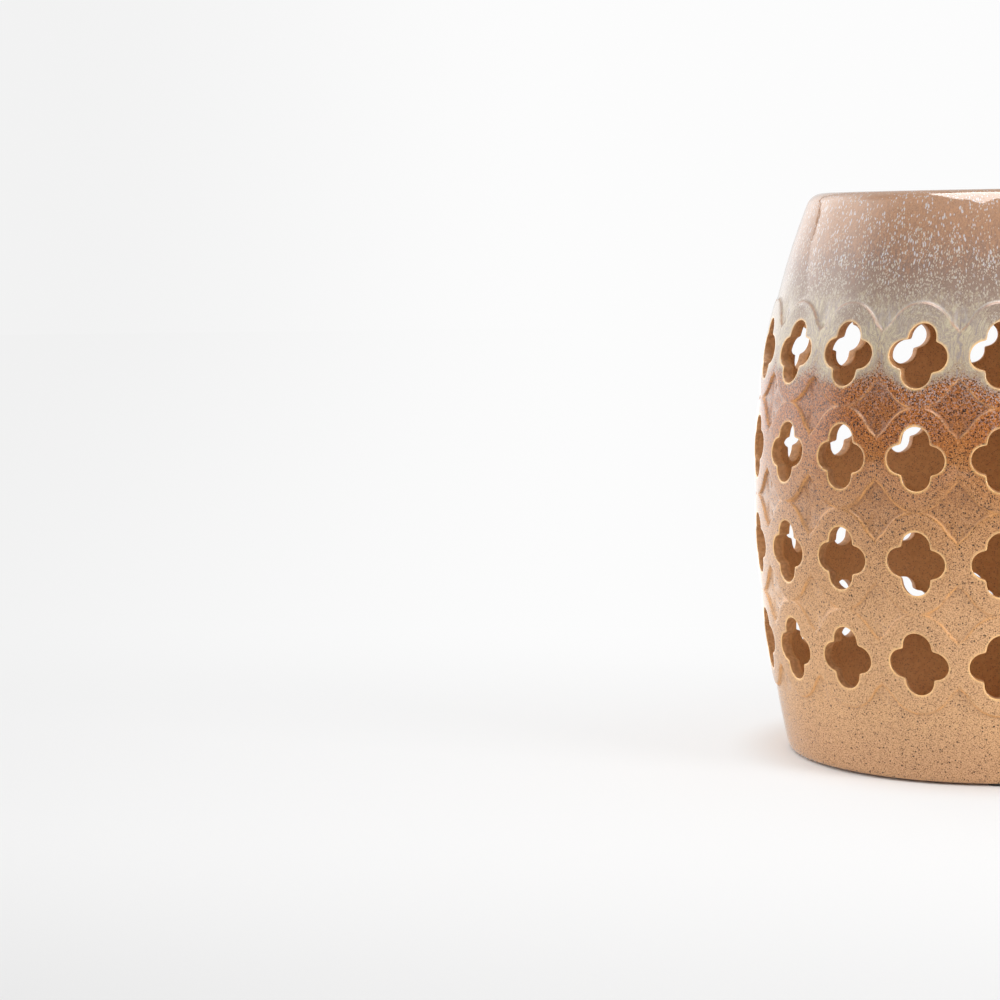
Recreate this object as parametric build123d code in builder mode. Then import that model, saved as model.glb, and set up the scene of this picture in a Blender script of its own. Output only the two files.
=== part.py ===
"""Pierced ceramic garden stool: a barrel of raised quatrefoil tiles, each cut through, a seat slab and floor pads.

Units are millimetres. The barrel's axis is Z, the floor is Z = 0, and one column of the lattice faces -Y.
"""

import os
from math import copysign, sqrt

from build123d import *

# Overall shape of the fired stool: the side swells from rim and foot to the belly
overall_height = 432.0
belly_height = 215.0
belly_radius = 175.8
rim_inset = 43.4
foot_inset = 23.8
wall = 7.5

# Lattice: columns of quatrefoils round the barrel, with the rows centred a little below the belly
columns = 18
rows = 4
row_pitch = 74.5
lattice_height = 202.7
lobe_radius = 10.4
side_lobe_reach = 10.8
upright_lobe_reach = 12.8

# Raised tiles: each is its hole's outline grown by the margin, so wide that the tiles run together
tile_margin = 14.4
tile_relief = 2.0

# Foot flange that turns inwards at the base
foot_width = 18.0
foot_thickness = 12.0
foot_corner_fillet = 6.0
foot_edge_chamfer = 1.2

# Seat slab, with a ring under it that drops into the barrel's mouth
seat_thickness = 14.0
shoulder_fillet = 14.0
seat_ring_depth = 8.0
seat_ring_width = 10.0
mouth_clearance = 0.4

# Floor pads stuck under the foot flange
pad_count = 4
pad_radius = 7.0
pad_thickness = 2.0
pad_edge_chamfer = 0.4

foot_underside = pad_thickness
foot_top = foot_underside + foot_thickness
seat_underside = overall_height - seat_thickness
foot_radius = belly_radius - foot_inset
flange_radius = foot_radius - foot_width
column_angle = 360 / columns
cutter_reach = belly_radius + 2 * tile_relief
row_centres = [(0, lattice_height + row_pitch * (row - (rows - 1) / 2)) for row in range(rows)]


def swell_radius(rise, inset):
    """Radius of the upright arc that leaves the belly vertically and draws in by the inset over the rise."""
    return (rise**2 + inset**2) / (2 * inset)


upper_swell = swell_radius(overall_height - belly_height, rim_inset)
lower_swell = swell_radius(belly_height - foot_underside, foot_inset)


def barrel_radius(height, depth=0.0):
    """Radius of the barrel at a height, at a depth below its outer face."""
    swell = upper_swell if height > belly_height else lower_swell
    half_chord = sqrt((swell - depth) ** 2 - (height - belly_height) ** 2)
    return belly_radius - swell + copysign(half_chord, swell)


def barrel_half_section(depth, bottom, top):
    """Adds half of the barrel's upright section, at a depth below its outer face, to the sketch."""
    belly = (belly_radius - depth, belly_height)
    lower_end = (barrel_radius(bottom, depth), bottom)
    upper_end = (barrel_radius(top, depth), top)
    with BuildLine() as outline:
        TangentArc(belly, lower_end, tangent=(0, -1))
        TangentArc(belly, upper_end, tangent=(0, 1))
        Polyline(upper_end, (0, top), (0, bottom), lower_end)
    make_face(outline.edges())


def quatrefoil(radius):
    """Adds four round lobes about a common centre to the sketch."""
    lobe_centres = [
        (side_lobe_reach, 0),
        (0, upright_lobe_reach),
        (-side_lobe_reach, 0),
        (0, -upright_lobe_reach),
    ]
    with Locations(*lobe_centres):
        Circle(radius)
    Polygon(*lobe_centres)


column_front = Plane.XZ
column_side = Plane.XZ.rotated((0, 0, -90 - column_angle / 2))

# Tiles of one column, standing proud of the wall by the relief
with BuildPart() as tile_column:
    with BuildSketch(column_front):
        with Locations(*row_centres):
            quatrefoil(lobe_radius + tile_margin)
    extrude(amount=cutter_reach)
    with BuildSketch(column_side):
        barrel_half_section(-tile_relief, foot_underside, seat_underside)
    revolve(axis=Axis.Z, revolution_arc=column_angle, mode=Mode.INTERSECT)

# One column of the barrel: a wedge of the wall with its tiles, its foot flange and the holes through it
with BuildPart() as wall_column:
    with BuildSketch(column_side):
        barrel_half_section(0, foot_underside, seat_underside)
    revolve(axis=Axis.Z, revolution_arc=column_angle)
    add(tile_column.part)
    with BuildSketch(column_side) as hollow:
        barrel_half_section(wall, foot_top, seat_underside)
        fillet(hollow.vertices().group_by(Axis.Y)[0].sort_by(Axis.X)[-1], foot_corner_fillet)
        with Locations((0, foot_underside)):
            Rectangle(flange_radius, foot_thickness, align=(Align.MIN, Align.MIN))
    revolve(axis=Axis.Z, revolution_arc=column_angle, mode=Mode.SUBTRACT)
    chamfer(wall_column.edges().group_by(Axis.Z)[0].filter_by(GeomType.CIRCLE), foot_edge_chamfer)
    with BuildSketch(column_front):
        with Locations(*row_centres):
            quatrefoil(lobe_radius)
    extrude(amount=cutter_reach, mode=Mode.SUBTRACT)

# The barrel, cast in one piece: its columns joined, then its swelling faces turned into splines
with BuildPart() as joined_columns:
    with PolarLocations(0, columns):
        add(wall_column.part)
with BuildPart() as barrel_wall:
    add(joined_columns.part.to_splines(nurbs=True))
barrel_wall.part.label = "barrel_wall"

# Seat slab: carries the barrel's curve up to a rounded shoulder, and is stuck into the mouth with slip
seat_ring_radius = barrel_radius(seat_underside, wall) - mouth_clearance
slab_corner = (barrel_radius(seat_underside), seat_underside)
shoulder_corner = (belly_radius - rim_inset, overall_height)
slope_at_slab = (belly_height - seat_underside, slab_corner[0] - belly_radius + upper_swell)
with BuildPart() as seat_slab:
    with BuildSketch(Plane.XZ) as seat_section:
        with BuildLine():
            TangentArc(slab_corner, shoulder_corner, tangent=slope_at_slab)
            Polyline(shoulder_corner, (0, overall_height), (0, seat_underside), slab_corner)
        make_face()
        fillet(seat_section.vertices().group_by(Axis.Y)[-1].sort_by(Axis.X)[-1], shoulder_fillet)
        with Locations((seat_ring_radius, seat_underside)):
            Rectangle(seat_ring_width, seat_ring_depth, align=(Align.MAX, Align.MAX))
    revolve(axis=Axis.Z)
seat_slab.part.label = "seat_slab"

os.makedirs("parts", exist_ok=True)
export_step(barrel_wall.part, "parts/barrel_wall.step")
export_step(seat_slab.part, "parts/seat_slab.step")

# Floor pads: round discs spaced evenly under the middle of the foot flange, the first below the front column
pad_circle_radius = foot_radius - foot_width / 2
for pad in range(pad_count):
    pad_angle = 360 * pad / pad_count - 90
    with BuildPart() as floor_pad:
        with BuildSketch():
            with PolarLocations(pad_circle_radius, 1, start_angle=pad_angle):
                Circle(pad_radius)
        extrude(amount=pad_thickness)
        chamfer(floor_pad.edges().group_by(Axis.Z)[0], pad_edge_chamfer)
    floor_pad.part.label = f"floor_pad_{pad + 1}"
    export_step(floor_pad.part, f"parts/floor_pad_{pad + 1}.step")
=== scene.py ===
import random
from math import acos, asin, atan2, copysign, cos, exp, hypot, log, pi, radians, sin, sqrt

import bmesh
import bpy
from mathutils import Matrix, Vector


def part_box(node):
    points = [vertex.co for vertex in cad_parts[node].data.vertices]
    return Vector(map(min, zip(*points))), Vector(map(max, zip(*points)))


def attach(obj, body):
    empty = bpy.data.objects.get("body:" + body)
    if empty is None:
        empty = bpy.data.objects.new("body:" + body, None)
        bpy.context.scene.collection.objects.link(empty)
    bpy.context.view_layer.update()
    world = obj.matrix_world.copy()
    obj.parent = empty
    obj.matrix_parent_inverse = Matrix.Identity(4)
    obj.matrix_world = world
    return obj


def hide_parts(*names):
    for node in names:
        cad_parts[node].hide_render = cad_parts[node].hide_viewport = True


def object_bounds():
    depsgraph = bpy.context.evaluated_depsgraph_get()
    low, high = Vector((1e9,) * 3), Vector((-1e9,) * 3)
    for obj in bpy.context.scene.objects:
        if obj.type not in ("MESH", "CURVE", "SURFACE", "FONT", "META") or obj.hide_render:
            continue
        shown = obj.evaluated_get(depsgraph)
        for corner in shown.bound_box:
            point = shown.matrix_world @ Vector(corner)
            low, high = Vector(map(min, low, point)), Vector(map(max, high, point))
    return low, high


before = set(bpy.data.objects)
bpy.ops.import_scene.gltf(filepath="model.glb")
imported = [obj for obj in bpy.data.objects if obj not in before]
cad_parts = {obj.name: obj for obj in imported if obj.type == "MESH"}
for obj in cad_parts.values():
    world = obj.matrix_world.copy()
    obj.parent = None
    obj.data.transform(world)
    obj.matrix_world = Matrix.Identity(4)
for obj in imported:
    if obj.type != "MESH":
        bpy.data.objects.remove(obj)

cad_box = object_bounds()

# Barrel wall: one slip-cast stoneware shell, wider at the belly, with four rows of raised quatrefoil tiles.
# The tiles were cut through by hand while the clay was soft, then the whole barrel was dipped in a tan
# speckled glaze, and a pale glaze that runs in the kiln was poured over its top.
mm = 0.001
barrel_low, barrel_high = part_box("barrel_wall")
foot_height = barrel_low.z
seam_height = barrel_high.z
top_height = cad_box[1].z
belly_height = 215 * mm
belly_radius = 175.8 * mm
rim_radius = 132.4 * mm
foot_radius = 152 * mm
wall = 7.5 * mm
columns = 18
rows = 4
row_pitch = 74.5 * mm
lattice_height = 202.7 * mm
lattice_edge = 42 * mm
lobe_radius = 10.4 * mm
cusp_blunting = 0.9 * mm
side_reach = 10.8 * mm
upright_reach = 12.8 * mm
tile_margin = 14.4 * mm
tile_radius = lobe_radius + tile_margin
tile_blend = 1.2 * mm
relief = 1.95 * mm
inside_relief = 0.8 * mm

# Spokes of the mesh round each hole: how many there are, and how they are spread over tile, edge and ground
rays_per_lobe = 16
side_edge_rays = 4
upright_edge_rays = 6
upright_neck_share = 0.145
least_room = 0.6 * mm
full_room = 3 * mm
least_slant = 0.05
face_start = 2 * mm
face_end = -2.4 * mm


def swell_radius(rise, inset):
    """Radius of the upright arc that leaves the belly vertically and draws in by the inset over the rise."""
    return (rise**2 + inset**2) / (2 * inset)


upper_swell = swell_radius(top_height - belly_height, belly_radius - rim_radius)
lower_swell = swell_radius(belly_height - foot_height, belly_radius - foot_radius)


def barrel_radius(height, depth=0.0):
    """Radius of the barrel at a height, at a depth below the ground face that the tiles stand on."""
    swell = upper_swell if height > belly_height else lower_swell
    return belly_radius - swell + sqrt((swell - depth) ** 2 - (height - belly_height) ** 2)


def on_barrel(angle, height, depth):
    """The point of the barrel at an angle, a height and a depth below its ground face."""
    radius = barrel_radius(height, depth)
    return Vector((radius * cos(angle), radius * sin(angle), height))


def cusp_angle(reach, other_reach, radius):
    """Half of a lobe's arc, from its middle to the cusp that it shares with the next lobe."""
    apart = hypot(reach, other_reach)
    rise = sqrt(radius**2 - apart**2 / 4)
    along = rise * other_reach / apart - reach / 2
    across = rise * reach / apart + other_reach / 2
    return atan2(across, along)


def bent(share, knee, at_knee, at_end):
    """Runs evenly from 0 to at_knee at the knee, and on to at_end at a share of 1, alike on both sides."""
    size = abs(share)
    if size < knee:
        return copysign(at_knee * size / knee, share)
    return copysign(at_knee + (at_end - at_knee) * (size - knee) / (1 - knee), share)


def tile_distance(x, y, row):
    """Signed distance from the edge of the joined tiles, negative on a tile and rounded where tiles meet."""
    lobes = [(side_reach, 0), (-side_reach, 0), (0, upright_reach), (0, -upright_reach)]
    lobes.append((copysign(2 * pi / columns * row.radius - side_reach, x), 0))
    if not (row.is_top and y > 0 or row.is_bottom and y < 0):
        lobes.append((0, copysign(row_pitch - upright_reach, y)))
    return -tile_blend * log(sum(exp((tile_radius - hypot(x - a, y - b)) / tile_blend) for a, b in lobes))


class Ray:
    """One spoke of a cell: its places on the hole's edge, on the tile's edge and on the cell's border."""

    def __init__(self, lobe, step, row):
        upright = lobe % 2 == 1
        reach, other = (upright_reach, side_reach) if upright else (side_reach, upright_reach)
        edge_rays = upright_edge_rays if upright else side_edge_rays
        half_width = pi / columns * row.radius
        above = lattice_edge if row.is_top else row_pitch / 2
        below = lattice_edge if row.is_bottom else row_pitch / 2
        share = 2 * step / rays_per_lobe - 1
        knee = 1 - 2 * edge_rays / rays_per_lobe
        border = (half_width, above, half_width, below)[lobe]
        border_corner = half_width
        if not upright:
            first_side, last_side = (below, above) if lobe == 0 else (above, below)
            border_corner = last_side if share > 0 else first_side
        neck = acos((row_pitch / 2 if upright else half_width) / tile_radius - reach / tile_radius)
        neck_across = upright_neck_share * half_width if upright else tile_radius * sin(neck)
        hole_turn = share * cusp_angle(reach, other, lobe_radius)
        tile_turn = bent(share, knee, neck, cusp_angle(reach, other, tile_radius))
        self.turn = Matrix.Rotation(lobe * pi / 2, 2)
        self.hole = Vector((reach + lobe_radius * cos(hole_turn), lobe_radius * sin(hole_turn)))
        if step == 0:
            self.hole += cusp_blunting * self.hole.normalized()
        self.border = Vector((border, bent(share, knee, neck_across, border_corner)))
        tile = Vector((reach + tile_radius * cos(tile_turn), tile_radius * sin(tile_turn)))
        tile_normal = Vector((cos(tile_turn), sin(tile_turn)))
        room = (border - tile.x) / max(tile_normal.x, least_slant)
        if room < least_room:
            tile_normal = (self.border - self.hole).normalized()
            tile = self.border - least_room * tile_normal
            room = least_room
        self.tile, self.tile_normal, self.room = tile, tile_normal, min(room, full_room)
        self.hole_normal = (self.tile - self.hole).normalized()

    def across_tile(self, offset):
        """The place on this ray at an offset outwards from the tile's edge, kept inside the cell."""
        squeeze = self.room / full_room if offset > 0 else 1
        return self.turn @ (self.tile + offset * squeeze * self.tile_normal)

    def off_hole(self, offset):
        """The place on this ray at an offset outwards from the hole's edge."""
        return self.turn @ (self.hole + offset * self.hole_normal)

    def towards_tile(self, share):
        """The place a share of the way from the hole's rounded edge to the tile's edge."""
        return self.off_hole(face_start).lerp(self.across_tile(face_end), share)


class Row:
    """One row of the lattice, with its height and the spokes of its cells."""

    def __init__(self, number):
        self.height = lattice_height + row_pitch * (number - (rows - 1) / 2)
        self.radius = barrel_radius(self.height)
        self.is_top = number == rows - 1
        self.is_bottom = number == 0
        self.rays = [Ray(lobe, step, self) for lobe in range(4) for step in range(rays_per_lobe)]


lattice_rows = [Row(number) for number in range(rows)]
barrel_mesh = bmesh.new()
ray_layer = barrel_mesh.verts.layers.int.new("ray")
cell_layer = barrel_mesh.verts.layers.int.new("cell")
rim_layer = barrel_mesh.verts.layers.float.new("rim")
ridge_layer = barrel_mesh.verts.layers.float.new("ridge")
pool_layer = barrel_mesh.verts.layers.float.new("pool")
inner_layer = barrel_mesh.verts.layers.float.new("inner")
tile_layer = barrel_mesh.verts.layers.float.new("tile")
collar_layer = barrel_mesh.verts.layers.float.new("collar")

# The hand of whoever cut the holes: each hole leans, is drawn out and widens or narrows inwards by chance.
# In the column left of the front the lower holes widen most, and the top one leans most.
hand = random.Random(11)
lean_spread = 2.2
wave_size = 0.03
wide_flare = 2.2 * mm
cuts = [
    {
        "upright_lean": radians(hand.gauss(0, lean_spread)),
        "side_lean": radians(hand.gauss(0, lean_spread)),
        "waves": [(hand.uniform(0, wave_size), hand.uniform(0, 2 * pi)) for _ in range(3)],
        "flare": hand.uniform(-0.6, 0.4) * mm,
    }
    for _ in range(columns * rows)
]
left_of_front = (columns - 1) * rows
for row in range(rows - 1):
    cuts[left_of_front + row]["flare"] = wide_flare
cuts[left_of_front + rows - 1].update(upright_lean=radians(-7), side_lean=radians(-6), flare=0)
cuts[left_of_front].update(upright_lean=radians(2), side_lean=radians(-2))


def hand_cut(place, cell, share=1.0):
    """A place near a hole's edge, moved by a share of how far the hand that cut this hole strayed."""
    cut = cuts[cell]
    around = atan2(place.y, place.x)
    pulls = [size * cos((wave + 1) * around + start) for wave, (size, start) in enumerate(cut["waves"])]
    swing = 1 + sum(pulls)
    side = Vector((cos(cut["side_lean"]), sin(cut["side_lean"])))
    upright = Vector((-sin(cut["upright_lean"]), cos(cut["upright_lean"])))
    return place.lerp((place.x * side + place.y * upright) * swing, share)


# The tile's soft edge, and the lines beside it where the glaze thins on the ridge and gathers in the pool
edge_softness = 0.4 * mm
ridge_place = -0.3 * mm
pool_place = 1 * mm
line_width = 0.6 * mm


def place_vertex(vertex, place, depth, proud, straight=0.0):
    """Puts a vertex at a flat place of its cell and a depth below the ground, raised by proud on a tile.

    A straight share of 1 keeps it in line with the cutter, which went in square to the column, and 0 keeps
    it in line with the barrel's axis. The vertex also notes where it is on the tile's edge, for the glaze.
    """
    row = lattice_rows[vertex[cell_layer] % rows]
    column_angle = 2 * pi * (vertex[cell_layer] // rows) / columns - pi / 2
    away = tile_distance(place.x, place.y, row)
    on_tile = 1 - 1 / (1 + exp(-away / edge_softness))
    turn = place.x / row.radius
    z = row.height + place.y
    straight_turn = asin(sin(turn) * barrel_radius(z, -relief) / barrel_radius(z, depth))
    vertex.co = on_barrel(column_angle + turn + straight * (straight_turn - turn), z, depth - proud * on_tile)
    vertex[tile_layer] = on_tile
    vertex[ridge_layer] = exp(-(((away - ridge_place) / line_width) ** 2))
    vertex[pool_layer] = exp(-(((away - pool_place) / line_width) ** 2))


def grow(edges):
    """Extrudes loops of edges and returns the new vertices and the new loops' edges."""
    made = bmesh.ops.extrude_edge_only(barrel_mesh, edges=edges)["geom"]
    vertices = {v for v in made if isinstance(v, bmesh.types.BMVert)}
    loops = [e for e in made if isinstance(e, bmesh.types.BMEdge) and vertices.issuperset(e.verts)]
    return vertices, loops


def spoke(vertex):
    """The ray of its cell that a vertex lies on."""
    return lattice_rows[vertex[cell_layer] % rows].rays[vertex[ray_layer]]


# Each cell starts as a loop half way through its cut
for cell in range(columns * rows):
    circle = bmesh.ops.create_circle(barrel_mesh, segments=4 * rays_per_lobe, radius=lobe_radius)["verts"]
    for ray, vertex in enumerate(circle):
        vertex[ray_layer] = ray
        vertex[cell_layer] = cell
for vertex in barrel_mesh.verts:
    place = spoke(vertex).off_hole(cuts[vertex[cell_layer]]["flare"] / 2)
    place_vertex(vertex, hand_cut(place, vertex[cell_layer]), (wall - relief) / 2, 0, 1)
    vertex[inner_layer] = 0.6
    vertex[collar_layer] = 1
middle_loops = list(barrel_mesh.edges)

# Outwards from the middle of the cut: the rounded lip, the tile's face, its soft edge and the ground
lip = 0.8 * mm
# Each lip ring: its angle, its share of the rim's pale colour (thin glaze and a painted highlight) and its
# share of the cut's colour
lip_rings = [(0, 0, 0.5), (pi / 6, 0.6, 0.1), (pi / 3, 1, 0), (pi / 2, 0.55, 0)]
loops = middle_loops
for angle, rim, inner in lip_rings:
    vertices, loops = grow(loops)
    for vertex in vertices:
        place = hand_cut(spoke(vertex).off_hole(lip * (1 - cos(angle))), vertex[cell_layer])
        place_vertex(vertex, place, lip * (1 - sin(angle)), relief, 1 - angle * 2 / pi)
        vertex[rim_layer] = rim
        vertex[inner_layer] = inner
for share in (0.05, 0.4, 0.75):
    vertices, loops = grow(loops)
    for vertex in vertices:
        place = hand_cut(spoke(vertex).towards_tile(share), vertex[cell_layer], 1 - share)
        place_vertex(vertex, place, 0, relief)
        vertex[rim_layer] = 0
        vertex[collar_layer] = 1 - share
for offset in (-1.8 * mm, -0.9 * mm, -0.3 * mm, 0.3 * mm, 0.9 * mm, 2 * mm):
    vertices, loops = grow(loops)
    for vertex in vertices:
        place_vertex(vertex, spoke(vertex).across_tile(offset), 0, relief)
        vertex[collar_layer] = 0
vertices, loops = grow(loops)
for vertex in vertices:
    place_vertex(vertex, spoke(vertex).turn @ spoke(vertex).border, 0, relief)

# Inwards from the middle of the cut: the inner lip and the inside of the wall, which echoes the tiles
inner_lip = 1.2 * mm
inside_depth = wall + inside_relief
half_way = 0.5
loops = middle_loops
for angle in (0, pi / 4, pi / 2):
    vertices, loops = grow(loops)
    for vertex in vertices:
        flare = cuts[vertex[cell_layer]]["flare"]
        place = hand_cut(spoke(vertex).off_hole(flare + inner_lip * (1 - cos(angle))), vertex[cell_layer])
        place_vertex(vertex, place, inside_depth - inner_lip * (1 - sin(angle)), inside_relief, 1)
        vertex[inner_layer] = 1
vertices, loops = grow(loops)
for vertex in vertices:
    ray = spoke(vertex)
    flare = cuts[vertex[cell_layer]]["flare"]
    place = ray.towards_tile(half_way) + ray.turn @ (flare * ray.hole_normal)
    place = hand_cut(place, vertex[cell_layer], 1 - half_way)
    place_vertex(vertex, place, inside_depth, inside_relief, 1 - half_way)
vertices, loops = grow(loops)
for vertex in vertices:
    place_vertex(vertex, spoke(vertex).turn @ spoke(vertex).border, inside_depth, inside_relief)

# Neighbouring cells are joined along their borders, where two rows' tiles differ by under a tenth of a mm
border_weld = 0.2 * mm
same_height = 0.1 * mm
cell_borders = [v for v in barrel_mesh.verts if v.is_boundary]
bmesh.ops.remove_doubles(barrel_mesh, verts=cell_borders, dist=border_weld)


def border_loop(height, inside):
    """The edges of the open border at a height, on the inside or the outside of the wall."""
    middle = barrel_radius(height, wall / 2)
    return [
        e
        for e in barrel_mesh.edges
        if e.is_boundary
        and all(abs(v.co.z - height) < same_height for v in e.verts)
        and (e.verts[0].co.xy.length < middle) == inside
    ]


def turn_band(edges, outline):
    """Carries a border on along an outline of radii and heights round the axis. Returns its last loop."""
    for radius, height in outline:
        vertices, edges = grow(edges)
        for vertex in vertices:
            side = vertex.co.xy.normalized() * radius
            vertex.co = (side.x, side.y, height)
            vertex[ridge_layer] = 0
            vertex[pool_layer] = 0
            vertex[tile_layer] = 0
            vertex[inner_layer] = radius < barrel_radius(height, wall / 2)
    return edges


def arc(centre, radius, first, last, steps):
    """Points of a round stretch of an outline, after its first point."""
    turns = [first + (last - first) * step / steps for step in range(1, steps + 1)]
    return [(centre[0] + radius * cos(turn), centre[1] + radius * sin(turn)) for turn in turns]


lattice_top = lattice_rows[-1].height + lattice_edge
lattice_bottom = lattice_rows[0].height - lattice_edge

# The plain band above the lattice, up to the seat, over the top edge and down the inside
band_shares = (0.15, 0.35, 0.6, 0.85, 0.97, 1)
band_heights = [lattice_top + (seam_height - lattice_top) * share for share in band_shares]
shoulder = [(barrel_radius(z), z) for z in band_heights]
inside_mouth = [(barrel_radius(z, wall), z) for z in (seam_height, band_heights[2])]
inside_mouth.append((barrel_radius(lattice_top, inside_depth), lattice_top))
seam = turn_band(border_loop(lattice_top, False), shoulder)
mouth = turn_band(seam, inside_mouth[:1])
for edge in seam + mouth:
    edge.smooth = False
turn_band(mouth, inside_mouth[1:])

# The plain band below it, round the foot, under it and up the inside of its flange
foot_width = 18 * mm
foot_thickness = 12 * mm
foot_round = 1.6 * mm
hollow_round = 6 * mm
skirt_shares = (0.8, 0.55, 0.3, 0.12)
skirt_heights = [foot_height + (lattice_bottom - foot_height) * share for share in skirt_shares]
foot_side = foot_height + foot_round
flange_radius = foot_radius - foot_width
flange_top = foot_height + foot_thickness
hollow_side = barrel_radius(flange_top + hollow_round, wall)
outline = [(barrel_radius(z), z) for z in skirt_heights + [foot_side]]
outline += arc((foot_radius - foot_round, foot_side), foot_round, 0, -pi / 2, 4)
outline += arc((flange_radius + foot_round, foot_side), foot_round, -pi / 2, -pi, 3)
outline += arc((flange_radius + foot_round, flange_top - foot_round), foot_round, pi, pi / 2, 3)
outline += [(hollow_side - hollow_round, flange_top)]
outline += arc((hollow_side - hollow_round, flange_top + hollow_round), hollow_round, -pi / 2, 0, 4)
outline += [(barrel_radius(skirt_heights[1], wall), skirt_heights[1])]
outline += [(barrel_radius(lattice_bottom, inside_depth), lattice_bottom)]
turn_band(border_loop(lattice_bottom, False), outline)
weld = 0.01 * mm
bmesh.ops.remove_doubles(barrel_mesh, verts=barrel_mesh.verts, dist=weld)
bmesh.ops.recalc_face_normals(barrel_mesh, faces=barrel_mesh.faces)
for face in barrel_mesh.faces:
    face.smooth = True
barrel_data = bpy.data.meshes.new("barrel_wall_glazed")
barrel_mesh.to_mesh(barrel_data)
barrel_mesh.free()
barrel = bpy.data.objects.new("barrel_wall_glazed", barrel_data)
bpy.context.collection.objects.link(barrel)


def add_node(tree, kind, inputs=None, **settings):
    """Adds a node to a tree. An input given a socket is linked to it, and any other is set to its value."""
    made = tree.nodes.new(kind)
    for name, value in settings.items():
        setattr(made, name, value)
    for name, value in (inputs or {}).items():
        if isinstance(value, bpy.types.NodeSocket):
            tree.links.new(value, made.inputs[name])
        else:
            made.inputs[name].default_value = value
    return made


def maths(tree, operation, *values):
    """Works out one number from others."""
    return add_node(tree, "ShaderNodeMath", dict(enumerate(values)), operation=operation).outputs[0]


def times(tree, first, second):
    """The product of two numbers, or the part of a mask that another mask leaves."""
    return maths(tree, "MULTIPLY", first, second)


def eased(tree, value, low, high, at_low=0.0, at_high=1.0):
    """Goes smoothly from one number to another while a value goes from low to high."""
    sockets = {"Value": value, "From Min": low, "From Max": high, "To Min": at_low, "To Max": at_high}
    return add_node(tree, "ShaderNodeMapRange", sockets, interpolation_type="SMOOTHSTEP").outputs["Result"]


def mixed(tree, share, first, second):
    """Mixes a share of the second colour into the first."""
    return add_node(tree, "ShaderNodeMix", {0: share, 6: first, 7: second}, data_type="RGBA").outputs[2]


def between(tree, share, first, second):
    """The number that is a share of the way from the first to the second."""
    return add_node(tree, "ShaderNodeMix", {0: share, 2: first, 3: second}).outputs[0]


def laid(tree, under, mask, strength, colour):
    """Lays a colour over what is under it, where a mask is and at a strength."""
    return mixed(tree, times(tree, mask, strength), under, colour)


def clouds(tree, coordinates, size, stretch=1.0, detail=2.0, output="Fac"):
    """Soft noise whose clouds are about a size across, and taller than that by the stretch."""
    scale = (1 / size, 1 / size, 1 / (size * stretch))
    place = add_node(tree, "ShaderNodeMapping", {"Vector": coordinates, "Scale": scale}).outputs["Vector"]
    noise = add_node(tree, "ShaderNodeTexNoise", {"Vector": place, "Scale": 1.0, "Detail": detail})
    return noise.outputs[output]


def strayed(tree, stray, reach, coordinates):
    """Coordinates that are moved by a stray number or colour times a reach."""
    sockets = {0: stray, 1: (reach, reach, reach), 2: coordinates}
    return add_node(tree, "ShaderNodeVectorMath", sockets, operation="MULTIPLY_ADD").outputs["Vector"]


def shaken(tree, coordinates, size, reach):
    """Coordinates that stray by up to about half a reach, back and forth over a size."""
    return strayed(tree, clouds(tree, coordinates, size, output="Color"), reach, coordinates)


def grains(tree, coordinates, size, share, stretch=1.0, shift=0.0):
    """Mask of grains in cells of a size: a share of the cells hold one, each as large as chance has it."""
    smallest, spread = 0.28, 0.3
    scale = (1 / size, 1 / size, 1 / (size * stretch))
    sockets = {"Vector": coordinates, "Scale": scale, "Location": (shift, shift, shift)}
    place = add_node(tree, "ShaderNodeMapping", sockets).outputs["Vector"]
    cells = add_node(tree, "ShaderNodeTexVoronoi", {"Vector": place, "Scale": 1.0})
    chance = add_node(tree, "ShaderNodeSeparateColor", {"Color": cells.outputs["Color"]}).outputs
    reach = maths(tree, "MULTIPLY_ADD", chance["Green"], spread, smallest)
    inside = maths(tree, "DIVIDE", cells.outputs["Distance"], reach)
    return times(tree, eased(tree, inside, 1.1, 0.7), maths(tree, "LESS_THAN", chance["Red"], share))


def fired(red, green, blue):
    """A fired colour as it looks in plain light, from screen values to the linear ones of a shader."""
    return tuple(((part / 255 + 0.055) / 1.055) ** 2.4 for part in (red, green, blue)) + (1.0,)


glaze = bpy.data.materials.new("reactive_glaze")
glaze.use_nodes = True
tree = glaze.node_tree
shader = tree.nodes["Principled BSDF"]
coordinates = add_node(tree, "ShaderNodeTexCoord").outputs["Object"]
place_parts = add_node(tree, "ShaderNodeSeparateXYZ", {"Vector": coordinates}).outputs
height = place_parts["Z"]
inner, rim, ridge, pool, on_tile, collar = [
    add_node(tree, "ShaderNodeAttribute", attribute_name=name).outputs["Fac"]
    for name in ("inner", "rim", "ridge", "pool", "tile", "collar")
]

# The pale glaze crept further down here and there, in fine streaks, and furthest round the holes
uneven = shaken(tree, coordinates, 2.2 * mm, 1.2 * mm)
drifting = shaken(tree, coordinates, 12 * mm, 9 * mm)
leaning = shaken(tree, coordinates, 16 * mm, 5 * mm)
swirling = strayed(tree, collar, 14 * mm, drifting)
creep = clouds(tree, coordinates, 24 * mm, stretch=1.3, detail=3.0)
streaks = clouds(tree, swirling, 1.7 * mm, stretch=5.0)
crumbs = clouds(tree, coordinates, 1.1 * mm, detail=1.0)
run_height = height
for cause, middle, reach in (
    (creep, 0.5, 30 * mm),
    (streaks, 0.5, 14 * mm),
    (crumbs, 0.5, 26 * mm),
    (on_tile, 0.4, 6 * mm),
    (collar, 0.3, 10 * mm),
):
    run_height = maths(tree, "MULTIPLY_ADD", maths(tree, "SUBTRACT", cause, middle), reach, run_height)

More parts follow.
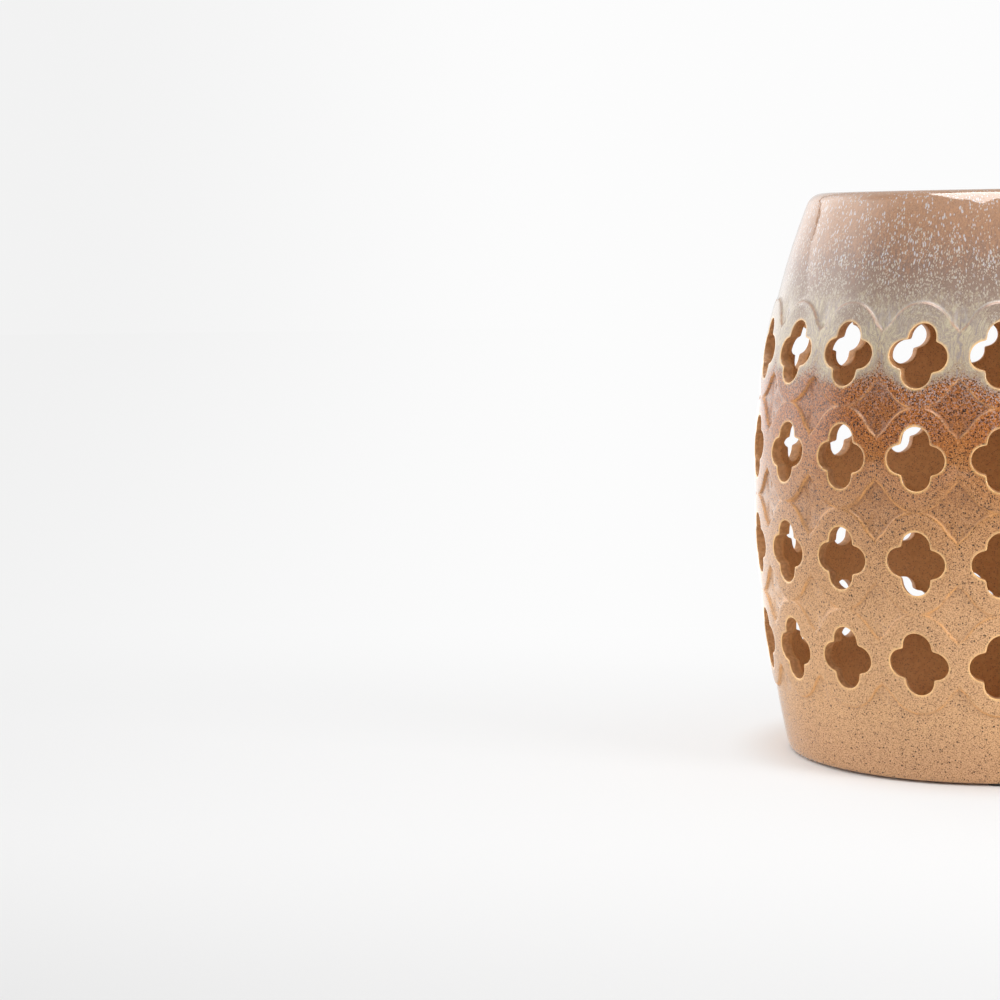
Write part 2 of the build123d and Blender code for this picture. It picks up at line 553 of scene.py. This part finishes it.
# From the foot up: tan, brown, rust, the pale glaze's cream edge, its greyer middle and the tan of the rim
zone_colours = [
    (0.02, fired(196, 151, 110)),
    (0.10, fired(210, 164, 118)),
    (0.28, fired(208, 161, 115)),
    (0.37, fired(199, 150, 103)),
    (0.46, fired(184, 131, 81)),
    (0.55, fired(172, 111, 57)),
    (0.63, fired(182, 104, 38)),
    (0.685, fired(178, 104, 42)),
    (0.71, fired(164, 141, 117)),
    (0.745, fired(183, 167, 143)),
    (0.785, fired(173, 158, 141)),
    (0.82, fired(147, 127, 114)),
    (0.87, fired(137, 114, 103)),
    (0.93, fired(161, 126, 103)),
    (1.0, fired(184, 146, 119)),
]
zones = add_node(tree, "ShaderNodeValToRGB", {"Fac": maths(tree, "DIVIDE", run_height, top_height)})
ramp = zones.color_ramp.elements
ramp[0].position, ramp[0].color = zone_colours[0]
ramp[1].position, ramp[1].color = zone_colours[-1]
for level, colour in zone_colours[1:-1]:
    ramp.new(level).color = colour
body_colour = zones.outputs["Color"]
in_top = eased(tree, run_height, 296 * mm, 312 * mm)
below = eased(tree, in_top, 0.0, 1.0, 1.0, 0.12)

# Between the tiles of the middle rows the body glaze is a little thicker and darker
ground = times(tree, maths(tree, "SUBTRACT", 1.0, on_tile), below)
ground_strength = eased(tree, height, 150 * mm, 230 * mm, 0.0, 0.3)
body_colour = laid(tree, body_colour, ground, ground_strength, fired(140, 84, 40))

# Where the pale glaze lies thickest it is cream, streaked with lavender and paler cream
thick = times(tree, in_top, eased(tree, run_height, 362 * mm, 330 * mm))
lavender = times(tree, eased(tree, streaks, 0.52, 0.62), thick)
body_colour = laid(tree, body_colour, lavender, 0.8, fired(148, 137, 136))
curds = times(tree, eased(tree, streaks, 0.47, 0.37), thick)
body_colour = laid(tree, body_colour, curds, 0.7, fired(198, 187, 158))

# Above that it has run: the tan shows through in fine threads, and pale flecks float in it,
# long bluish ones near the rim, and small creamy ones closer together below them
threads = eased(tree, clouds(tree, drifting, 1.1 * mm, stretch=9.0), 0.42, 0.6)
thread_strength = eased(tree, run_height, 350 * mm, 390 * mm, 0.0, 0.4)
body_colour = laid(tree, body_colour, threads, thread_strength, fired(196, 148, 112))
crowding = eased(tree, clouds(tree, coordinates, 14 * mm, stretch=1.5), 0.4, 0.62, 0.4, 1.5)
small_share = times(tree, eased(tree, run_height, 345 * mm, 415 * mm, 0.95, 0.1), crowding)
small_flecks = times(tree, grains(tree, leaning, 1.15 * mm, small_share, stretch=2.2, shift=2.3), in_top)
small_strength = eased(tree, run_height, 332 * mm, 358 * mm, 0.0, 0.68)
body_colour = laid(tree, body_colour, small_flecks, small_strength, fired(203, 194, 178))
long_share = times(tree, eased(tree, run_height, 345 * mm, 380 * mm, 0.06, 0.28), crowding)
long_flecks = grains(tree, leaning, 1.3 * mm, long_share, stretch=4.5)
long_strength = eased(tree, run_height, 345 * mm, 372 * mm, 0.0, 0.68)
body_colour = laid(tree, body_colour, long_flecks, long_strength, fired(206, 207, 212))

# Just below it the body glaze breaks into a mosaic of rust and lavender grains, less lavender on the left
rust = times(tree, eased(tree, run_height, 232 * mm, 276 * mm), eased(tree, run_height, 312 * mm, 300 * mm))
rust_mottle = times(tree, eased(tree, clouds(tree, uneven, 1.5 * mm, detail=1.0), 0.52, 0.57), rust)
body_colour = laid(tree, body_colour, rust_mottle, 0.8, fired(100, 48, 20))
pale_share = times(tree, eased(tree, run_height, 248 * mm, 300 * mm), rust)
pale_share = times(tree, pale_share, eased(tree, place_parts["X"], -120 * mm, -60 * mm, 0.3, 1.0))
pale_grains = times(tree, eased(tree, clouds(tree, leaning, 1.5 * mm, detail=1.0), 0.52, 0.56), pale_share)
body_colour = laid(tree, body_colour, pale_grains, 0.8, fired(176, 162, 160))

# Fine grit and iron specks come through the body glaze, thickest in the mosaic and thinner towards the foot
grit_noise = clouds(tree, coordinates, 0.75 * mm, detail=1.0)
dark_grit = times(tree, eased(tree, grit_noise, 0.48, 0.64), below)
body_colour = laid(tree, body_colour, dark_grit, 0.58, fired(126, 82, 50))
pale_grit = times(tree, eased(tree, grit_noise, 0.46, 0.34), below)
body_colour = laid(tree, body_colour, pale_grit, 0.2, fired(236, 192, 146))
fine_share = eased(tree, run_height, 60 * mm, 270 * mm, 0.3, 0.65)
fine_specks = times(tree, grains(tree, uneven, 1 * mm, fine_share, shift=8.1), below)
body_colour = laid(tree, body_colour, fine_specks, 0.72, fired(80, 50, 32))
speck_share = eased(tree, run_height, 110 * mm, 285 * mm, 0.09, 0.5)
specks = times(tree, grains(tree, uneven, 1.35 * mm, speck_share, shift=3.7), below)
body_colour = laid(tree, body_colour, specks, 0.95, fired(36, 20, 13))

# It thins to amber over edges, here more and there less, and gathers at the foot of the tiles. The holes'
# rims are lighter still, as a painted highlight.
patchy = eased(tree, clouds(tree, coordinates, 15 * mm), 0.42, 0.58)
edge_strength = maths(tree, "MULTIPLY_ADD", patchy, 0.45, 0.25)
edge_colour = mixed(tree, eased(tree, height, 290 * mm, 330 * mm), fired(230, 163, 90), fired(174, 119, 82))
body_colour = laid(tree, body_colour, ridge, edge_strength, edge_colour)
pool_strength = eased(tree, height, 90 * mm, 240 * mm, 0.08, 0.35)
pool_colour = mixed(tree, in_top, fired(116, 68, 34), fired(170, 160, 152))
body_colour = laid(tree, body_colour, pool, pool_strength, pool_colour)
# Round the holes the lip is painted pale cream: partly the thin glaze's own colour, partly a painted
# highlight
rim_thin_glaze_and_highlight = maths(tree, "MULTIPLY_ADD", patchy, 0.35, 0.65)
body_colour = laid(tree, body_colour, rim, rim_thin_glaze_and_highlight, fired(255, 208, 142))

# The cuts and the inside have only a matt wash of the body glaze, which was poured in and tipped out again.
# In the cuts the wash is painted darker, as shade in the holes.
wash = clouds(tree, uneven, 3 * mm)
cut_share = eased(tree, inner, 0.08, 0.35)
cut_wash_and_shade = mixed(tree, eased(tree, wash, 0.35, 0.65), fired(205, 152, 102), fired(178, 126, 78))
body_colour = mixed(tree, cut_share, body_colour, cut_wash_and_shade)
# Inside, the wash is painted a lighter, warmer tan, as painted light for what comes in through the holes
inside_wash_and_light = mixed(tree, eased(tree, wash, 0.3, 0.7), fired(217, 160, 99), fired(206, 148, 88))
inside_specks = grains(tree, uneven, 1.3 * mm, 0.5, shift=5.9)
inside_wash_and_light = laid(tree, inside_wash_and_light, inside_specks, 0.4, fired(100, 62, 36))
body_colour = mixed(tree, eased(tree, inner, 0.65, 1.0), body_colour, inside_wash_and_light)
tree.links.new(body_colour, shader.inputs["Base Color"])

# It is glossy on the faces, duller on the tiles' slopes and matt in the cuts and inside
matt = 0.6
slope_roughness = 0.5
face_roughness = eased(tree, clouds(tree, coordinates, 6 * mm), 0.35, 0.65, 0.03, 0.07)
slope = maths(tree, "ADD", ridge, pool)
gloss = maths(tree, "MULTIPLY_ADD", slope, slope_roughness, face_roughness)
roughness = between(tree, cut_share, gloss, matt)
tree.links.new(roughness, shader.inputs["Roughness"])

# It lies in low waves, with the specks as shallow pits
pit_depth = -0.15
waves = clouds(tree, coordinates, 11 * mm, stretch=1.4)
relief_height = maths(tree, "MULTIPLY_ADD", specks, pit_depth, waves)
bump = add_node(tree, "ShaderNodeBump", {"Height": relief_height, "Strength": 0.4, "Distance": 0.4 * mm})
tree.links.new(bump.outputs["Normal"], shader.inputs["Normal"])
barrel_data.materials.append(glaze)
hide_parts("barrel_wall")
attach(barrel, "root")

# Seat slab: a turned stoneware disc with a rounded shoulder, and a ring under it that drops into the
# barrel's mouth. It is stuck on with slip before glazing, so the pale glaze covers the joint and only
# the form shows.
seat_low, seat_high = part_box("seat_slab")
shoulder_round = 14 * mm
shoulder_steps = 12
ring_clearance = 0.4 * mm
ring_width = 10 * mm
seam_step = 0.6 * mm
arc_step = 1 * mm
slope_step = 1 * mm
spin_steps = 256
ring_radius = barrel_radius(seam_height, wall) - ring_clearance
ring_inside = ring_radius - ring_width
side_slope = atan2(rim_radius - barrel_radius(top_height - slope_step), slope_step)
shoulder_turn = pi / 2 + side_slope
round_start = shoulder_round * sqrt(1 / cos(shoulder_turn / 2) ** 2 - 1)
round_centre = (rim_radius - round_start, seat_high.z - shoulder_round)
shoulder_arc = arc(round_centre, shoulder_round, -side_slope, pi / 2, shoulder_steps)
seat_outline = [(barrel_radius(z), z) for z in (seam_height, seam_height + seam_step)]
seat_outline += [(x, z) for x, z in shoulder_arc if z > seam_height + arc_step]
seat_outline += [(share * round_centre[0], seat_high.z) for share in (0.97, 0.5, 0)]
under_outline = [(0, seam_height), (ring_inside, seam_height), (ring_inside, seat_low.z)]
under_outline += [(ring_radius, seat_low.z), (ring_radius, seam_height), seat_outline[0]]
seat_mesh = bmesh.new()
for outline in (seat_outline, under_outline):
    points = [seat_mesh.verts.new((radius, 0, z)) for radius, z in outline]
    for first, second in zip(points, points[1:]):
        seat_mesh.edges.new((first, second))
profile = seat_mesh.verts[:] + seat_mesh.edges[:]
bmesh.ops.spin(seat_mesh, geom=profile, axis=(0, 0, 1), angle=2 * pi, steps=spin_steps, use_merge=True)
bmesh.ops.remove_doubles(seat_mesh, verts=seat_mesh.verts, dist=weld)
bmesh.ops.recalc_face_normals(seat_mesh, faces=seat_mesh.faces)
for face in seat_mesh.faces:
    face.smooth = True
for edge in seat_mesh.edges:
    if all(v.co.z < seam_height + same_height for v in edge.verts):
        edge.smooth = False
seat_data = bpy.data.meshes.new("seat_slab_glazed")
seat_mesh.to_mesh(seat_data)
seat_mesh.free()
seat = bpy.data.objects.new("seat_slab_glazed", seat_data)
bpy.context.collection.objects.link(seat)
seat_data.materials.append(glaze)
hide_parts("seat_slab")
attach(seat, "root")

# Floor pads: four thin discs of dark rubber, stuck under the foot so that the ceramic doesn't scrape
# the floor. They are punched from sheet, with slightly rounded edges.
pad_count = 4
pad_segments = 48
pad_round = 0.35 * mm
rubber = bpy.data.materials.new("pad_rubber_sheet")
rubber.use_nodes = True
rubber_tree = rubber.node_tree
rubber_shader = rubber_tree.nodes["Principled BSDF"]
rubber_place = add_node(rubber_tree, "ShaderNodeTexCoord").outputs["Object"]
rubber_grain = clouds(rubber_tree, rubber_place, 0.6 * mm)
rubber_share = eased(rubber_tree, rubber_grain, 0.3, 0.7)
rubber_tint = mixed(rubber_tree, rubber_share, fired(34, 32, 31), fired(52, 49, 47))
rubber_tree.links.new(rubber_tint, rubber_shader.inputs["Base Color"])
rubber_shader.inputs["Roughness"].default_value = 0.7
grain_sockets = {"Height": rubber_grain, "Strength": 0.4, "Distance": 0.1 * mm}
rubber_bump = add_node(rubber_tree, "ShaderNodeBump", grain_sockets)
rubber_tree.links.new(rubber_bump.outputs["Normal"], rubber_shader.inputs["Normal"])
for number in range(1, pad_count + 1):
    pad_low, pad_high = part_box(f"floor_pad_{number}")
    pad_middle = (pad_low + pad_high) / 2
    pad_size = pad_high - pad_low
    pad_radius = pad_size.x / 2
    pad_mesh = bmesh.new()
    bmesh.ops.create_cone(
        pad_mesh,
        cap_ends=True,
        segments=pad_segments,
        radius1=pad_radius,
        radius2=pad_radius,
        depth=pad_size.z,
    )
    rims = [e for e in pad_mesh.edges if len({round(v.co.z, 6) for v in e.verts}) == 1]
    bmesh.ops.bevel(
        pad_mesh,
        geom=rims,
        offset=pad_round,
        offset_type="OFFSET",
        affect="EDGES",
        segments=3,
        profile=0.5,
        material=-1,
    )
    bmesh.ops.translate(pad_mesh, verts=pad_mesh.verts, vec=pad_middle)
    for face in pad_mesh.faces:
        face.smooth = len(face.verts) == 4
    pad_data = bpy.data.meshes.new(f"floor_pad_{number}_rubber")
    pad_mesh.to_mesh(pad_data)
    pad_mesh.free()
    pad = bpy.data.objects.new(f"floor_pad_{number}_rubber", pad_data)
    bpy.context.collection.objects.link(pad)
    pad_data.materials.append(rubber)
    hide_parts(f"floor_pad_{number}")
    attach(pad, "root")

# Camera: at the photograph's viewing angle, level with the seat and two metres in front of the stool.
# It looks past the stool's left side, so that the right edge of the picture cuts the stool near its axis.
lens_pixels = 2672
image_pixels = 1000
heading = 6.369
pitch_down = 6.014
roll = -0.946
camera_data = bpy.data.cameras.new("studio_camera")
camera_data.sensor_width = 36
camera_data.lens = camera_data.sensor_width * lens_pixels / image_pixels
camera_data.clip_end = 50
camera = bpy.data.objects.new("studio_camera", camera_data)
camera_place = Matrix.Translation((-0.1449, -2.0878, 0.4166))
camera_heading = Matrix.Rotation(radians(heading), 4, "Z")
camera_pitch = Matrix.Rotation(radians(90 - pitch_down), 4, "X")
camera_roll = Matrix.Rotation(radians(roll), 4, "Z")
camera.matrix_world = camera_place @ camera_heading @ camera_pitch @ camera_roll
bpy.context.collection.objects.link(camera)
bpy.context.scene.camera = camera

# Studio floor: a pale paper sweep that keeps the stool's soft shadow. To the camera it glows bright, with a
# painted fall-off of light towards the left and the front, and it runs into the white room behind.
floor_half_size = 8
fan_distance = 4.0
shade_start = foot_radius - 2 * mm
shade_end = foot_radius + 55 * mm
floor_mesh = bmesh.new()
bmesh.ops.create_grid(floor_mesh, x_segments=1, y_segments=1, size=floor_half_size)
floor_data = bpy.data.meshes.new("studio_floor")
floor_mesh.to_mesh(floor_data)
floor_mesh.free()
floor = bpy.data.objects.new("studio_floor", floor_data)
bpy.context.collection.objects.link(floor)
floor_paper = bpy.data.materials.new("floor_paper")
floor_paper.use_nodes = True
paper = floor_paper.node_tree
paper_shader = paper.nodes["Principled BSDF"]
paper_shader.inputs["Base Color"].default_value = (0.9, 0.9, 0.9, 1)
paper_shader.inputs["Roughness"].default_value = 0.9
paper_place = add_node(paper, "ShaderNodeTexCoord").outputs["Object"]
paper_way = add_node(paper, "ShaderNodeSeparateXYZ", {"Vector": paper_place}).outputs
paper_rays = add_node(paper, "ShaderNodeLightPath").outputs
sideways = maths(paper, "DIVIDE", paper_way["X"], maths(paper, "ADD", paper_way["Y"], fan_distance))
left_painted_falloff = eased(paper, sideways, -0.26, -0.065, 0.88, 0.975)
front_painted_falloff = eased(paper, paper_way["Y"], -0.85, -0.3, 0.82, 1.0)
brightness = times(paper, left_painted_falloff, front_painted_falloff)

# The glaze mirrors the paper brighter than the camera sees it, but only behind the stool and far to its left,
# and close to the foot the paper shows its own shade
glare = times(paper, paper_rays["Is Glossy Ray"], eased(paper, paper_way["X"], -0.4, -1.6, 0.65, 1.4))
glare = maths(paper, "MULTIPLY_ADD", glare, brightness, brightness)
glow = add_node(paper, "ShaderNodeEmission", {"Strength": glare}).outputs[0]
behind = eased(paper, paper_way["Y"], 0.05, 0.6)
far_left = eased(paper, paper_way["X"], -0.5, -1.2)
mirrored = times(paper, paper_rays["Is Glossy Ray"], maths(paper, "MAXIMUM", behind, far_left))
from_axis = add_node(paper, "ShaderNodeVectorMath", {0: paper_place}, operation="LENGTH").outputs["Value"]
clear_of_foot = eased(paper, from_axis, shade_start, shade_end)
glow_share = times(paper, eased(paper, paper_way["Y"], -0.1, 0.6, 0.62, 1.0), clear_of_foot)
seen = times(paper, glow_share, maths(paper, "MAXIMUM", paper_rays["Is Camera Ray"], mirrored))
paper_mix = add_node(paper, "ShaderNodeMixShader", {0: seen, 1: paper_shader.outputs[0], 2: glow})
paper.links.new(paper_mix.outputs[0], paper.nodes["Material Output"].inputs["Surface"])
floor_data.materials.append(floor_paper)

# Studio light: a white room, brighter on the left, and a softbox on the right. In the glaze the room is
# a white wall under a screen, with a thin dark gap between them that draws a line on the left shoulder.
# A large panel overhead shows in the glaze alone, as the bright lens on the shoulder.
bpy.context.scene.view_settings.view_transform = "Standard"
world = bpy.data.worlds.new("studio_room")
world.use_nodes = True
room = world.node_tree
room_place = add_node(room, "ShaderNodeTexCoord").outputs["Generated"]
way = add_node(room, "ShaderNodeSeparateXYZ", {"Vector": room_place}).outputs
rays = add_node(room, "ShaderNodeLightPath").outputs
wall_tilt = 0.27
wall_rise = 0.443
widest_half_gap = 0.013
gap_blur = 0.004
dim_room = 0.35
wall_top = maths(room, "MULTIPLY_ADD", way["X"], wall_tilt, wall_rise)
over_wall = maths(room, "SUBTRACT", way["Z"], wall_top)
half_gap = eased(room, way["X"], -0.7, -0.67, 0.0, widest_half_gap)
wall_light = eased(room, way["X"], -0.05, -0.5, 0.55, 1.65)
wall_light = maths(room, "ADD", wall_light, eased(room, way["X"], -0.75, -0.95, 0.0, 0.6))
white_wall = eased(room, maths(room, "ADD", over_wall, half_gap), gap_blur, -gap_blur)
white_wall = times(room, white_wall, eased(room, way["Y"], -0.35, 0.1))
white_wall = times(room, white_wall, wall_light)
above_gap = eased(room, maths(room, "SUBTRACT", over_wall, half_gap), -gap_blur, gap_blur)
back_wall = times(room, above_gap, eased(room, way["Y"], 0.3, 0.6, 0.0, 0.4))
screen = times(room, above_gap, eased(room, way["Z"], 0.85, 0.55))
screen = times(room, screen, eased(room, way["X"], -0.15, -0.7))
screen = times(room, screen, eased(room, way["Y"], -0.4, 0.15, 0.0, 2.7))
low_part = maths(room, "ADD", white_wall, dim_room)
glossy_room = maths(room, "ADD", low_part, maths(room, "ADD", screen, back_wall))
from_left = eased(room, way["X"], 0.1, -0.9, 0.42, 1.95)
lit_room = between(room, rays["Is Glossy Ray"], from_left, glossy_room)
seen_backdrop = eased(room, way["X"], -0.28, -0.08, 0.89, 0.975)
seen_room = between(room, rays["Is Camera Ray"], lit_room, seen_backdrop)
room.links.new(seen_room, room.nodes["Background"].inputs["Strength"])
room.nodes["Background"].inputs["Color"].default_value = (1, 1, 1, 1)
bpy.context.scene.world = world

softbox_light = bpy.data.lights.new("right_softbox", "AREA")
softbox_light.shape = "SQUARE"
softbox_light.size = 0.8
softbox_light.energy = 30
softbox = bpy.data.objects.new("right_softbox", softbox_light)
softbox_place = Vector((1.7, -1.15, 0.8))
softbox_aim = Vector((0, 0, 0.22)) - softbox_place
softbox_turn = softbox_aim.to_track_quat("-Z", "Y").to_matrix().to_4x4()
softbox.matrix_world = Matrix.Translation(softbox_place) @ softbox_turn
bpy.context.collection.objects.link(softbox)

panel_height = 1.93
panel_strength = 11.0
panel_corners = [
    (-0.165, -1.5),
    (0.14, -1.1),
    (0.95, 0.3),
    (0.3, 0.6),
    (-0.4, 0.5),
    (-0.5, -0.5),
    (-0.5, -1.1),
]
panel_mesh = bmesh.new()
panel_mesh.faces.new([panel_mesh.verts.new((x, y, panel_height)) for x, y in panel_corners])
panel_data = bpy.data.meshes.new("overhead_panel")
panel_mesh.to_mesh(panel_data)
panel_mesh.free()
panel = bpy.data.objects.new("overhead_panel", panel_data)
panel.visible_camera = False
panel.visible_diffuse = False
panel.visible_shadow = False
bpy.context.collection.objects.link(panel)
panel_lamp = bpy.data.materials.new("panel_lamp")
panel_lamp.use_nodes = True
panel_tree = panel_lamp.node_tree
panel_glow = add_node(panel_tree, "ShaderNodeEmission", {"Strength": panel_strength}).outputs[0]
panel_tree.links.new(panel_glow, panel_tree.nodes["Material Output"].inputs["Surface"])
panel_data.materials.append(panel_lamp)
